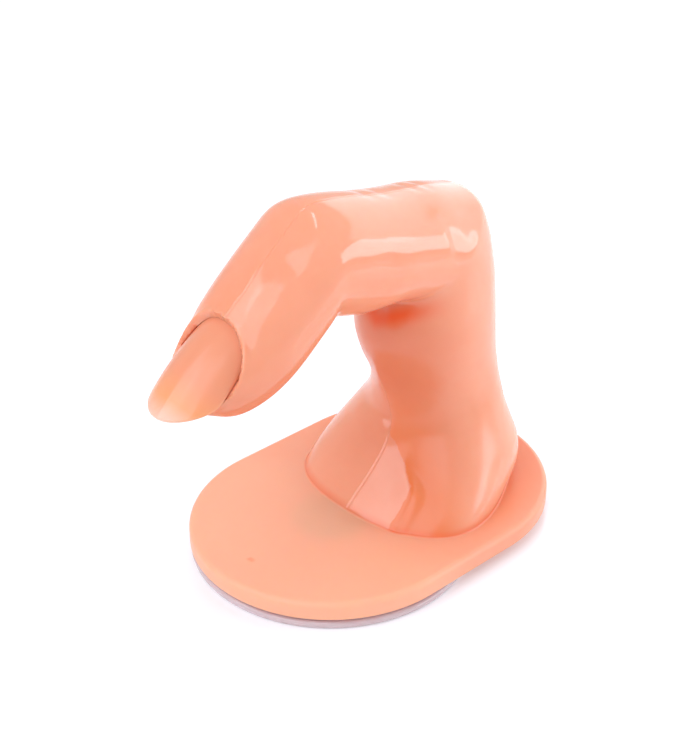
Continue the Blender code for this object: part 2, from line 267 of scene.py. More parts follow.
# Relief of the skin: the lip that stands round the nail, the dip above the cuticle, the
# creases over the knuckles, the mould's parting line and the faint unevenness of a
# soft moulding, all as heights along the surface's normal.
LIP_HEIGHT = 0.28 * MM
LIP_WIDTH = 0.55 * MM
LIP_LOSS_SHARE = 0.6
LIP_END_SHARE = 0.95
LIP_FADE_SHARE = 0.25
CUTICLE_DIP = 0.45 * MM
CUTICLE_DIP_WIDTH = 1.5 * MM
CUTICLE_END_SHARE = 0.45
FOLD_LINE_END_SHARE = 0.80
FOLD_LINE_POINTS = 160
# The nail's relief starts at this row of the table and stays above this height
NAIL_RELIEF_ROW = 12.5
NAIL_RELIEF_LOWEST = -2 * MM
# The parting line's place across and its strength, at rows of the table
SEAM_BACK_ROWS = (0.0, 9.0, 12.0, 13.5, 15.0, 18.0)
SEAM_BACK_PLACES = np.array((0.0, -0.3, -1.4, -1.9, -0.8, -0.6)) * MM
SEAM_BACK_SHARES = (0.3, 0.2, 1.0, 1.0, 1.0, 0.6)
SEAM_PALM_ROWS = (0.0, 1.3, 2.5, 3.1, 3.7, 4.25, 5.0, 6.5, 18.0)
SEAM_PALM_PLACES = np.array((-0.6, -0.9, -1.2, -0.5, 0.7, 1.6, 1.2, 0.0, 0.0)) * MM
SEAM_PALM_SHARES = (1.0, 1.0, 1.0, 1.0, 1.0, 0.5, 0.0, 0.0, 0.0)
SEAM_DEPTH = 0.07 * MM
SEAM_WIDTH = 0.13 * MM
SEAM_LIP_SHARE = 0.6
SEAM_SIDE_SHARPNESS = 3
SEAM_RIDGE = 0.05
SEAM_RIDGE_REACH = 2.2 * MM
# The skin lies this far inside the CAD's, from the first of these rows to the second on
SKIN_INSET = 0.09 * MM
SKIN_INSET_ROWS = (0.3, 1.8)
# Waves of unevenness: their height, and the length and direction of each
UNEVEN_HEIGHT = 0.008 * MM
UNEVEN_WAVES = (
    (11 * MM, (1, 2, 1)),
    (7 * MM, (2, -1, 1)),
    (5 * MM, (-1, 1, 2)),
    (4 * MM, (1, 1, -2)),
)
# Each crease over the knuckles: its X, depth, width and slant towards +X along -Y
CREASES = (
    (3.0 * MM, 0.16 * MM, 1.05 * MM, 0.05),
    (6.2 * MM, 0.16 * MM, 1.10 * MM, 0.22),
    (12.8 * MM, 0.16 * MM, 0.70 * MM, 0.10),
    (15.2 * MM, 0.16 * MM, 0.70 * MM, 0.10),
)
CREASE_MIDDLE = 0.6 * MM
CREASE_REACH = 2.8 * MM
CREASE_LOWEST = 50 * MM
# The two mould halves don't meet exactly on the palm side over the root, from the first
# of these rows to the second, each with the rows that it fades over
STEP_DEPTH = 1.1 * MM
STEP_REACH = 5 * MM
STEP_SHARPNESS = 0.12 * MM
STEP_START_ROWS = (2.6, 0.5)
STEP_END_ROWS = (4.9, 0.8)
# The right half of the root's front is a flat facet with its own plane. It ends upwards
# at a slanting line and turns round the root's side at its right edge
FACET_PLACE = np.array((0.95, -5.5, 6.55)) * MM
FACET_NORMAL = np.array((-0.747, -0.043, 0.663))
FACET_EDGE_HEIGHT = 17.3 * MM
FACET_EDGE_FALL = 0.68
FACET_EDGE_SOFT = 1.2 * MM
FACET_SIDE = -9.6 * MM
FACET_TURN = 3.0 * MM
FACET_INNER = -1.0 * MM
FACET_INNER_SOFT = 1.0 * MM
FACET_BACK = 14 * MM
FACET_LIFT = 1.0 * MM
# The root's foot is drawn in at its back corners and a little fuller on its near side.
# Each row: the direction from its middle in degrees from +X, the spread and the move
FOOT_MOVES = (
    (-110, 22, 1.3 * MM),
    (-50, 36, -2.9 * MM),
    (50, 36, -0.8 * MM),
    (105, 25, -0.5 * MM),
)
FOOT_MIDDLE = ROOT_BACK - 17.6 * MM
FOOT_MOVES_TOP = 14 * MM
# The base knuckle's side is a little hollow, with a clear edge in front, and turns away
# behind. Each pair is a start or an end and the length that it fades over
HOLLOW_DEPTH = 0.30 * MM
HOLLOW_START = (11.7 * MM, 0.9 * MM)
HOLLOW_END = (19 * MM, 3 * MM)
HOLLOW_SIDE = (5 * MM, 2.5 * MM)
HOLLOW_HEIGHT = 52.0 * MM
HOLLOW_SPREAD = 2.2 * MM
TURN_DROP = 0.35 * MM
TURN_START = (15.3 * MM, 4 * MM)
TURN_END = (24 * MM, 4 * MM)
TURN_SPREAD = 5 * MM
# A shallow dent behind the nail, below the end knuckle
DENT_PLACE = np.array((-15.7, -5.3, 56.4)) * MM
DENT_DEPTH = 0.17 * MM
DENT_WIDTH = 2.0 * MM
# A nub where the mould's gate was cut, and the faint parting line from it to the root
GATE_PLACE = np.array((-21.0, -0.3)) * MM
GATE_HEIGHT = 0.16 * MM
GATE_WIDTH = 0.6 * MM
PLATE_SEAM = (-22 * MM, -7 * MM)
PLATE_SEAM_FADE = 1.0 * MM
PLATE_SEAM_DEPTH = 0.05 * MM
PLATE_SEAM_WIDTH = 0.3 * MM


def fold_distance(share, angle):
    """Distance on the nail's surface to the fold's outline."""
    outline = np.linspace(0, FOLD_LINE_END_SHARE, FOLD_LINE_POINTS)
    reach = opening_angle(NAIL_WIDTH / 2 * fold_share(outline))
    line = np.stack((outline * NAIL_SHOWN, reach * NAIL_RADIUS), -1)
    here = np.stack((share * NAIL_SHOWN, np.abs(angle) * NAIL_RADIUS), -1)
    return np.linalg.norm(here[:, None] - line[None], axis=-1).min(1)


def bell(value, width):
    """1 at zero, falling off evenly on both sides within about the width."""
    return np.exp(-(value / width) ** 2)


def rise(value, width):
    """0 below zero, 1 above the width, smooth between."""
    t = np.clip(value / width, 0, 1)
    return t * t * (3 - 2 * t)


def seam_relief(points, at, turn):
    """Parting line: a groove with a lip beside it on a slight ridge, and the step where
    the far half of the palm side lies lower than the near half."""
    heights = np.zeros(points.shape[:2])
    back = (1, SEAM_BACK_ROWS, SEAM_BACK_PLACES, SEAM_BACK_SHARES)
    palm = (-1, SEAM_PALM_ROWS, SEAM_PALM_PLACES, SEAM_PALM_SHARES)
    for side, rows, places, shares in (back, palm):
        off = points[..., 1] - np.interp(at, rows, places)[:, None]
        here = np.clip(np.cos(turn)[None] * side * SEAM_SIDE_SHARPNESS, 0, 1)
        here = here * np.interp(at, rows, shares)[:, None]
        lip = SEAM_LIP_SHARE * bell(off - 2 * SEAM_WIDTH, SEAM_WIDTH)
        groove = SEAM_DEPTH * (lip - bell(off, SEAM_WIDTH))
        slope = np.maximum(SEAM_RIDGE_REACH - np.abs(off), 0)
        ridge = SEAM_RIDGE * slope ** 2 / (2 * SEAM_RIDGE_REACH)
        heights += (groove + ridge) * here
    # The loop ends with the palm side, so off and here are that side's
    window = rise(at - STEP_START_ROWS[0], STEP_START_ROWS[1])
    window = window * rise(STEP_END_ROWS[0] - at, STEP_END_ROWS[1])
    far = (1 + np.tanh(off / STEP_SHARPNESS)) / 2 * np.exp(-np.maximum(off, 0) / STEP_REACH)
    return heights - STEP_DEPTH * far * here * window[:, None]


def root_relief(points):
    """The facet: what lies under its plane is raised to it, and let down beyond its edges."""
    x, y, z = points[..., 0], points[..., 1], points[..., 2]
    under = np.clip((FACET_PLACE - points) @ FACET_NORMAL, 0, FACET_LIFT)
    inside = rise(y - FACET_SIDE + FACET_TURN, FACET_TURN) * rise(FACET_INNER - y, FACET_INNER_SOFT)
    edge = FACET_EDGE_HEIGHT + FACET_EDGE_FALL * y + FACET_EDGE_SOFT / 2
    return under * inside * rise(edge - z, FACET_EDGE_SOFT) * (x < FACET_BACK)


def foot_moves(points):
    """Level moves of the root's lower rings, away from its middle or towards it."""
    away = points[..., :2] - (FOOT_MIDDLE, 0)
    way = np.degrees(np.arctan2(away[..., 1], away[..., 0]))
    move = sum(distance * bell(way - place, spread) for place, spread, distance in FOOT_MOVES)
    move = move * rise(FOOT_MOVES_TOP - points[..., 2], FOOT_MOVES_TOP - BASE_TOP)
    return away / np.linalg.norm(away, axis=-1, keepdims=True) * move[..., None]


def knuckle_relief(points, turn):
    """Short creases over the knuckles, and the hollow in the base knuckle's side."""
    x, y, z = points[..., 0], points[..., 1], points[..., 2]
    heights = np.zeros(points.shape[:2])
    back = (np.cos(turn)[None] > 0) * (z > CREASE_LOWEST)
    across = np.exp(-((y - CREASE_MIDDLE) / CREASE_REACH) ** 4) * back
    for place, depth, width, slant in CREASES:
        heights -= depth * bell(x - place + slant * y, width) * across
    out = rise(np.abs(y) - HOLLOW_SIDE[0], HOLLOW_SIDE[1])
    window = rise(x - HOLLOW_START[0], HOLLOW_START[1]) * rise(HOLLOW_END[0] - x, HOLLOW_END[1])
    heights -= HOLLOW_DEPTH * window * out * bell(z - HOLLOW_HEIGHT, HOLLOW_SPREAD)
    past = rise(x - TURN_START[0], TURN_START[1]) * rise(TURN_END[0] - x, TURN_END[1])
    heights -= TURN_DROP * past * out * bell(z - HOLLOW_HEIGHT, TURN_SPREAD)
    return heights - DENT_DEPTH * bell(np.linalg.norm(points - DENT_PLACE, axis=-1), DENT_WIDTH)


def skin_relief(points, at, turn):
    """Heights for the finger's grid of points, rings down and turns across."""
    fade = np.interp(at, SKIN_INSET_ROWS, (0, 1))[:, None]
    heights = np.zeros(points.shape[:2]) - SKIN_INSET * fade
    for length, way in UNEVEN_WAVES:
        phase = points @ (np.array(way) / np.linalg.norm(way) * math.tau / length)
        heights += UNEVEN_HEIGHT * np.sin(phase + length / MM) * fade
    heights += seam_relief(points, at, turn) + root_relief(points) + knuckle_relief(points, turn)
    near = np.argwhere(at > NAIL_RELIEF_ROW)[:, 0]
    share, angle, height = nail_place(points[near].reshape(-1, 3))
    gaps = fold_distance(share, angle)
    window = np.clip((LIP_END_SHARE - share) / LIP_FADE_SHARE, 0, 1) * (height > NAIL_RELIEF_LOWEST)
    behind = np.clip(CUTICLE_END_SHARE - share, 0, CUTICLE_END_SHARE) / CUTICLE_END_SHARE
    nail_relief = LIP_HEIGHT * bell(gaps, LIP_WIDTH) * (1 - LIP_LOSS_SHARE * behind)
    nail_relief -= CUTICLE_DIP * bell(gaps, CUTICLE_DIP_WIDTH) * behind
    heights[near] += (nail_relief * window).reshape(len(near), -1)
    return heights


def grid_normals(points):
    """Outward normals of a closed grid: the cross product of its two running differences."""
    across = np.roll(points, -1, 1) - np.roll(points, 1, 1)
    along = np.gradient(points, axis=0)
    normal = np.cross(across, along)
    return normal / np.maximum(np.linalg.norm(normal, axis=-1, keepdims=True), 1e-12)


def mesh_from(name, verts, faces):
    """A mesh from an array of points and a list of arrays of faces."""
    corners = np.concatenate([group.ravel() for group in faces])
    sizes = np.concatenate([np.full(len(group), group.shape[1]) for group in faces])
    mesh = bpy.data.meshes.new(name)
    mesh.vertices.add(len(verts))
    mesh.vertices.foreach_set("co", verts.astype(np.float32).ravel())
    mesh.loops.add(len(corners))
    mesh.loops.foreach_set("vertex_index", corners.astype(np.int32))
    mesh.polygons.add(len(sizes))
    mesh.polygons.foreach_set("loop_start", np.concatenate(([0], np.cumsum(sizes)[:-1])).astype(np.int32))
    mesh.update(calc_edges=True)
    mesh.validate()
    return mesh


def ring_quads(rings):
    """Point numbers of a stack of rings, and the quads between them."""
    index = np.arange(rings.shape[0] * rings.shape[1]).reshape(rings.shape[:2])
    after = np.roll(index, -1, 1)
    quads = np.stack((index[:-1], after[:-1], after[1:], index[1:]), -1).reshape(-1, 4)
    return index, after, quads


def ring_mesh(name, rings, first_pole, last_pole):
    """A closed mesh from a stack of rings, with a fan to a pole at each end."""
    index, after, quads = ring_quads(rings)
    verts = np.concatenate((rings.reshape(-1, 3), (first_pole, last_pole)))
    first = np.full(rings.shape[1], len(verts) - 2)
    first_fan = np.stack((first, after[0], index[0]), -1)
    last_fan = np.stack((first + 1, index[-1], after[-1]), -1)
    return mesh_from(name, verts, (quads, first_fan, last_fan))


def add_piece(name, mesh):
    piece = bpy.data.objects.new(name, mesh)
    bpy.context.scene.collection.objects.link(piece)
    return piece


# Base of the moulding: a stadium with a rounded top edge. The points of each of its rings
# lie on the same rays from the root's middle. The socket's and the cup's sizes go together.
CUP_AXIS = BASE_CENTRE - (BASE_LENGTH - BASE_WIDTH) / 2
CUP_RADIUS = BASE_WIDTH / 2 - 0.2 * MM
CUP_SHOULDER_RADIUS = 15 * MM
RELIEF_DEPTH = 0.8 * MM
SOCKET_LIP = 0.5 * MM
STUD_NECK_RADIUS = 3.8 * MM
STUD_HEAD_RADIUS = 5.6 * MM
STUD_HEAD_THICKNESS = 0.7 * MM
RUNNING_GAP = 0.3 * MM
SOCKET_MIDDLE_SHARE = 0.5
UNDERSIDE_RINGS = 12
EDGE_RINGS = 12
TOP_RINGS = 60
FILLET_RINGS = 7
LEAST_LENGTH = 1e-9


def stadium_ring(directions, centre, inset, height):
    """The base's outline met by rays from a centre on the X axis: its straight side where
    the ray crosses that within the straight run, and otherwise the arc at that end."""
    radius = BASE_WIDTH / 2 - inset
    half_run = (BASE_LENGTH - BASE_WIDTH) / 2
    dx, dy = directions[:, 0], directions[:, 1]
    to_side = radius / np.maximum(np.abs(dy), LEAST_LENGTH)
    x_side = centre + dx * to_side - BASE_CENTRE
    to_end = np.sign(x_side) * half_run + BASE_CENTRE - centre
    toward = to_end * dx
    to_arc = toward + np.sqrt(np.maximum(toward ** 2 - to_end ** 2 + radius ** 2, 0))
    reach = np.where(np.abs(x_side) <= half_run, to_side, to_arc)
    return np.stack((centre + dx * reach, dy * reach, np.full(len(dx), height)), -1)


def circle_ring(angle, radius, height):
    """Points round the cup's axis at these angles."""
    x = CUP_AXIS + radius * np.cos(angle)
    return np.stack((x, radius * np.sin(angle), np.full(len(angle), height)), -1)


def ease(count):
    """Even steps drawn in at both ends, from just after 0 to just before 1."""
    return rise(np.linspace(0, 1, count + 2)[1:-1], 1)


def underside_rings(angle, outer, roof):
    """Rings from the socket's roof down its wall and lip, and out under the base."""
    relief = BASE_UNDERSIDE + RELIEF_DEPTH
    lip = relief + SOCKET_LIP
    wide = CUP_SHOULDER_RADIUS + 2 * RUNNING_GAP
    steps = (
        (STUD_HEAD_RADIUS * SOCKET_MIDDLE_SHARE, roof),
        (STUD_HEAD_RADIUS + RUNNING_GAP, roof),
        (STUD_HEAD_RADIUS + RUNNING_GAP, lip),
        (STUD_NECK_RADIUS + RUNNING_GAP, lip),
        (STUD_NECK_RADIUS + RUNNING_GAP, relief),
        (wide, relief),
        ((wide + CUP_RADIUS) / 2, BASE_UNDERSIDE),
    )
    rings = [circle_ring(angle, radius, height) for radius, height in steps]
    return rings + [rings[-1] * (1 - share) + outer * share for share in ease(UNDERSIDE_RINGS)]


def plate_ring(rim, foot, share):
    """A ring on the base's top, with the gate's nub and the faint line beside it."""
    ring = rim * (1 - share) + foot * share
    x, y = ring[:, 0], ring[:, 1]
    nub = GATE_HEIGHT * bell(np.linalg.norm(ring[:, :2] - GATE_PLACE, axis=1), GATE_WIDTH)
    window = rise(x - PLATE_SEAM[0], PLATE_SEAM_FADE) * rise(PLATE_SEAM[1] - x, PLATE_SEAM_FADE)
    ring[:, 2] += nub - PLATE_SEAM_DEPTH * window * bell(y - GATE_PLACE[1], PLATE_SEAM_WIDTH)
    return ring


def body_surface():
    """All rings of the moulding in order: socket, underside, edge, top, foot, finger."""
    t = math.tau * np.arange(RING_POINTS) / RING_POINTS
    turn = t - SEAM_CROWDING / 2 * np.sin(2 * t)
    at, finger, tip = finger_rings(turn)
    finger = finger + grid_normals(finger) * skin_relief(finger, at, turn)[..., None]
    finger[..., :2] += foot_moves(finger)
    foot = finger[0]
    middle = (foot[:, 0].max() + foot[:, 0].min()) / 2
    rays = foot[:, :2] - (middle, 0)
    rays /= np.linalg.norm(rays, axis=1, keepdims=True)
    outer = stadium_ring(rays, middle, BASE_EDGE_CHAMFER, BASE_UNDERSIDE)
    angle = np.arctan2(outer[:, 1], outer[:, 0] - CUP_AXIS)
    roof = BASE_UNDERSIDE + RELIEF_DEPTH + SOCKET_LIP + STUD_HEAD_THICKNESS + 2 * RUNNING_GAP
    rings = underside_rings(angle, outer, roof)
    rings.append(outer)
    rings.append(stadium_ring(rays, middle, 0, BASE_UNDERSIDE + BASE_EDGE_CHAMFER))
    for bend in np.linspace(0, math.pi / 2, EDGE_RINGS):
        inset = BASE_EDGE_ROUND * (1 - math.cos(bend))
        height = BASE_TOP - BASE_EDGE_ROUND * (1 - math.sin(bend))
        rings.append(stadium_ring(rays, middle, inset, height))
    rim = rings[-1]
    outward = np.stack((rays[:, 0], rays[:, 1], np.zeros(len(rays))), -1)
    fillet_foot = foot + outward * ROOT_FILLET
    fillet_foot[:, 2] = BASE_TOP
    for share in ease(TOP_RINGS):
        rings.append(plate_ring(rim, fillet_foot, share))
    rises = finger[:, :, 2].min(1) - BASE_TOP
    standing = int(np.argmax(rises > ROOT_FILLET))
    for bend in np.linspace(0, math.pi / 2, FILLET_RINGS + 1)[:-1]:
        height = ROOT_FILLET * (1 - math.cos(bend))
        share = height / rises[standing]
        wall = foot * (1 - share) + finger[standing] * share
        wall[:, 2] = BASE_TOP + height
        rings.append(wall + outward * ROOT_FILLET * (1 - math.sin(bend)))
    rings = np.concatenate((np.stack(rings), finger[standing:]))
    return rings, np.array((CUP_AXIS, 0, roof)), tip


# The cutters' points along and across the nail, and the least width that they keep
CUTTER_STEPS = 90
CUTTER_POINTS = 40
CUTTER_LEAST_SHARE = 0.02
BED_OVERRUN = 1.2 * MM
# The fold's cut edge is rounded within this reach, most where it is closest
SOFTEN_SHARES = (-0.2, 1.05)
SOFTEN_HEIGHT = 4 * MM
SOFTEN_REACH = 0.25 * MM
SOFTEN_FULL = 1.4
SOFTEN_ROUNDS = 10
SOFTEN_STEP = 0.5


def slab(name, start, end, width_share, below, above):
    """A cutter along the nail's surface between two shares, from below its inner face to
    above it with room for the slide, as wide as the width share plus the fit."""
    steps = (1 - np.cos(np.linspace(0, math.pi, CUTTER_STEPS))) / 2
    share = (start + (end - start) * steps)[:, None]
    least = np.maximum(width_share(share), CUTTER_LEAST_SHARE)
    reach = opening_angle(NAIL_WIDTH / 2 * least)
    over = np.linspace(-1, 1, CUTTER_POINTS)[None]
    upper = nail_surface(share + 0 * over, reach * over, above + slide_room(share))
    lower = nail_surface(share + 0 * over, -reach * over, below)
    rings = np.concatenate((upper, lower), 1)
    index, _, quads = ring_quads(rings)
    lids = []
    for row, order in ((index[0], -1), (index[-1], 1)):
        near = row[:CUTTER_POINTS]
        far = row[:CUTTER_POINTS - 1:-1]
        lids.append(np.stack((near[:-1], near[1:], far[1:], far[:-1]), -1)[:, ::order])
    return add_piece(name, mesh_from(name, rings.reshape(-1, 3), (quads, *lids)))


def cut(target, tool):
    """Cut one closed body with another, and delete the tool."""
    modifier = target.modifiers.new("cut", "BOOLEAN")
    modifier.object = tool
    modifier.operation = "DIFFERENCE"
    modifier.solver = "EXACT"
    bpy.context.view_layer.update()
    graph = bpy.context.evaluated_depsgraph_get()
    mesh = bpy.data.meshes.new_from_object(target.evaluated_get(graph))
    target.modifiers.clear()
    target.data = mesh
    bpy.data.objects.remove(tool, do_unlink=True)


def soften_fold(mesh):
    """Round the fold's cut edge: points near it move towards their neighbours' mean."""
    verts = np.empty(len(mesh.vertices) * 3)
    mesh.vertices.foreach_get("co", verts)
    verts = verts.reshape(-1, 3)
    edges = np.empty(len(mesh.edges) * 2, np.int32)
    mesh.edges.foreach_get("vertices", edges)
    edges = edges.reshape(-1, 2)
    share, angle, height = nail_place(verts)
    near = (share > SOFTEN_SHARES[0]) & (share < SOFTEN_SHARES[1])
    near &= (height > NAIL_THICKNESS + 2 * NAIL_FIT) & (height < SOFTEN_HEIGHT)
    gaps = fold_distance(share[near], angle[near])
    weight = np.zeros(len(verts))
    weight[near] = np.clip(SOFTEN_FULL - gaps / SOFTEN_REACH, 0, 1)
    for _ in range(SOFTEN_ROUNDS):
        total = np.zeros_like(verts)
        count = np.zeros(len(verts))
        for one, other in ((0, 1), (1, 0)):
            np.add.at(total, edges[:, one], verts[edges[:, other]])
            np.add.at(count, edges[:, one], 1)
        verts += (total / count[:, None] - verts) * (SOFTEN_STEP * weight[:, None])
    mesh.vertices.foreach_set("co", verts.astype(np.float32).ravel())
    mesh.update()


def shade(piece, sharp_degrees):
    """Smooth shading, with edges sharper than this kept."""
    piece.data.shade_smooth()
    piece.data.set_sharp_from_angle(angle=math.radians(sharp_degrees))


rings, socket_pole, tip_pole = body_surface()
finger = add_piece("moulded_finger", ring_mesh("moulded_finger", rings, socket_pole, tip_pole))
bed_end = 1 + BED_OVERRUN / NAIL_SHOWN
cut(finger, slab("bed_cutter", 0, bed_end, fold_share, -NAIL_FIT - BED_RELIEF, BED_OPENING))
slot_start = -(NAIL_TUCK + NAIL_FIT) / NAIL_SHOWN
slot_height = NAIL_THICKNESS + NAIL_FIT
cut(finger, slab("slot_cutter", slot_start, SLOT_END_SHARE, side_share, -NAIL_FIT, slot_height))
soften_fold(finger.data)
shade(finger, 38)


class Wire:
    """An output socket, or a bare tree before the first node. Sums written on wires add
    Math nodes, and node() adds any other node and returns one of its outputs."""

    def __init__(self, tree, socket=None):
        self.tree = tree
        self.socket = socket

    def node(self, kind, settings=None, values=None, output=0):
        made = self.tree.nodes.new(kind)
        for name, value in (settings or {}).items():
            if name == "stops":
                while len(made.color_ramp.elements) < len(value):
                    made.color_ramp.elements.new(0.5)
                for element, (place, colour) in zip(made.color_ramp.elements, value):
                    element.position = place
                    element.color = colour
            else:
                setattr(made, name, value)
        for name, value in (values or {}).items():
            if isinstance(value, Wire):
                self.tree.links.new(value.socket, made.inputs[name])
            else:
                made.inputs[name].default_value = value
        return Wire(self.tree, made.outputs[output])

    def math(self, operation, one, other):
        return self.node("ShaderNodeMath", {"operation": operation}, {0: one, 1: other})

    def __add__(self, other):
        return self.math("ADD", self, other)

    def __sub__(self, other):
        return self.math("SUBTRACT", self, other)

    def __mul__(self, other):
        return self.math("MULTIPLY", self, other)

    def __truediv__(self, other):
        return self.math("DIVIDE", self, other)

    def __rsub__(self, other):
        return self.math("SUBTRACT", other, self)

    def __pow__(self, other):
        return self.math("POWER", self, other)

    __radd__ = __add__
    __rmul__ = __mul__

    def mix(self, low, high):
        """A colour between two, by this wire's value."""
        return self.node("ShaderNodeMix", {"data_type": "RGBA"}, {0: self, 6: low, 7: high}, output=2)


def new_material(name, constants):
    """A new material with one Principled shader, its constant sockets set directly."""
    material = bpy.data.materials.new(name)
    material.use_nodes = True
    shader = material.node_tree.nodes["Principled BSDF"]
    for socket, value in constants.items():
        shader.inputs[socket].default_value = value
    return material, shader, Wire(material.node_tree)


def noise(wire, scale, detail):
    """Noise over the object's own place, with this many cycles to the metre."""
    place = wire.node("ShaderNodeTexCoord", output="Object")
    values = {"Vector": place, "Scale": scale, "Detail": detail}
    return wire.node("ShaderNodeTexNoise", None, values)


def place_axes(wire):
    """The object's own X, Y and Z as three wires."""
    place = wire.node("ShaderNodeTexCoord", output="Object")
    return [wire.node("ShaderNodeSeparateXYZ", None, {0: place}, output=axis) for axis in "XYZ"]


def step(wire, start, end):
    """0 at the start and 1 at the end, smooth between; the start may be the larger."""
    return wire.node("ShaderNodeMapRange", {"interpolation_type": "SMOOTHSTEP"},
                     {"Value": wire, "From Min": min(start, end), "From Max": max(start, end),
                      "To Min": float(start > end), "To Max": float(end > start)})


def linear(red, green, blue):
    """A colour picked on screen, as light: the sRGB curve undone, with full alpha."""
    values = np.array((red, green, blue)) / 255
    light = np.where(values <= 0.04045, values / 12.92, ((values + 0.055) / 1.055) ** 2.4)
    return (*light.tolist(), 1.0)


SKIN = linear(236, 157, 124)
SKIN_WARM = linear(234, 150, 115)
SKIN_PALE = linear(238, 163, 131)
# painted shade for the fold inside the bend and the root's foot
SKIN_DEEP_SHADE = linear(235, 96, 42)
# painted shade for the shaft's face under the finger and towards the fingertip
SKIN_SHADE = linear(212, 105, 62)
# painted shade and painted reflection for the root's low near side and the base round its foot
SKIN_ORANGE_SHADE = linear(229, 121, 63)
# painted light for the base's top towards its front
PLATE_PAINTED_LIGHT = linear(255, 181, 147)

# Painted shade: the tone is darkened most in the fold inside the bend, whose line curves
# back at the sides, darker on the shaft's face under the finger, and along the foot of the root
BEND_PLACE = (6.0 * MM, 37.8 * MM)
BEND_CURVE = 0.07 / MM
BEND_RISE = 0.40
BEND_HEIGHT = 2.8 * MM
BEND_REACH = 6.0 * MM
BEND_SIDE = (11 * MM, 4 * MM)
BEND_SHADE_DEPTH = 0.85
SHAFT_FACE = (15 * MM, 6 * MM)
SHAFT_LOW = (4 * MM, 22 * MM)
SHAFT_HIGH = (46 * MM, 34 * MM)
SHAFT_SHADE_DEPTH = 0.55
SHAFT_SLANT = 0.2
# Painted shade and painted reflection of the finger on the root's low near side, beside the facet
LOW_SLANT = 0.5
LOW_RUN = (20 * MM, 12 * MM)
LOW_SIDE = (0.0, -2 * MM)
LOW_TOP = (26 * MM, 14 * MM)
LOW_SHADE_DEPTH = 0.8
# Painted shade towards the fingertip
TIP_RUN = (-8 * MM, -15 * MM)
TIP_SHADE_DEPTH = 0.16
# Painted light: the base's top made paler towards its front
PAINTED_LIGHT_RUN = (8 * MM, -6 * MM)
PAINTED_LIGHT_DEPTH = 0.65
FOOT_SHADE_LINE = (6.3 * MM, 5.1 * MM)
FOOT_TOP = BASE_TOP + 0.02 * MM
FOOT_SHADE_DEPTH = 0.45
# Painted shade and painted reflection of the root: a deeper orange band on the base round its foot
APRON_SHADE_DEPTH = 0.6
APRON_TOP = (7 * MM, 5 * MM)
FOOT_CENTRE = ROOT_BACK - FINGER_REACH * 0.271
FOOT_SPREAD = 1.45
FOOT_BACK = (2 * MM, 24 * MM)
# The mould is polished but for the shaft and the root's sides, which come out satin
POLISHED_ABOVE = (34 * MM, 42 * MM)
FACET_BLUR = 0.35 * MM
SKIN_STOPS = ((0.3, SKIN_WARM), (0.5, SKIN), (0.72, SKIN_PALE))
DRIFT_SCALE = 55
FINE_SCALE = 420
FINE_SHARE = 0.2
RAGGED_WIDTH = 1.6 * MM
POLISHED_ROUGHNESS = 0.10
SATIN_ROUGHNESS = 0.14
PLATE_ROUGHNESS = 0.16
FINE_ROUGHNESS = 0.03


